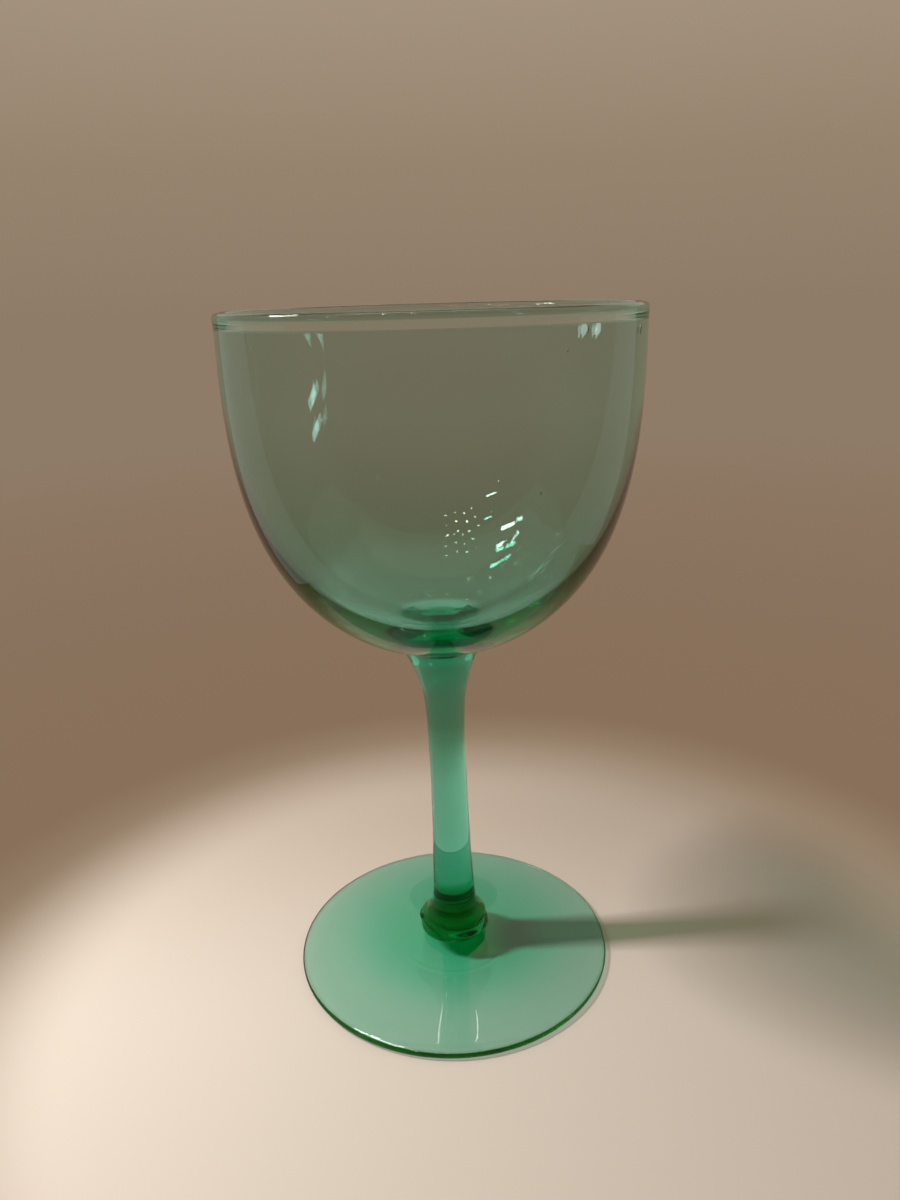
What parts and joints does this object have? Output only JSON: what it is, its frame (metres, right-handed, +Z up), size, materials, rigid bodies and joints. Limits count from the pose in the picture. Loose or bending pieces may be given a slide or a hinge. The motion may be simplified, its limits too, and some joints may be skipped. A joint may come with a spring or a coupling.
{
  "type": "wine glass",
  "caption": "Stemmed wine glass in green blown glass: a rounded cup on a waisted solid stem, joined by a small collar to a round foot.",
  "frame": {"origin": "middle of the plane that the foot rests on, on the glass's axis", "axes": "+Z up along the stem to the lip; the glass is round about Z, so X and Y are equal"},
  "size_m": [0.0726, 0.0726, 0.13],
  "materials": {
    "bowl_glass": "polished thin pale green glass",
    "stem_glass": "polished solid emerald green glass",
    "collar_glass": "polished solid deep green glass",
    "foot_glass": "polished green glass, deeper towards the middle"
  },
  "bodies": {
    "root": {"foot": "foot_glass", "collar": "collar_glass", "stem": "stem_glass", "bowl": "bowl_glass"}
  },
  "joints": []
}
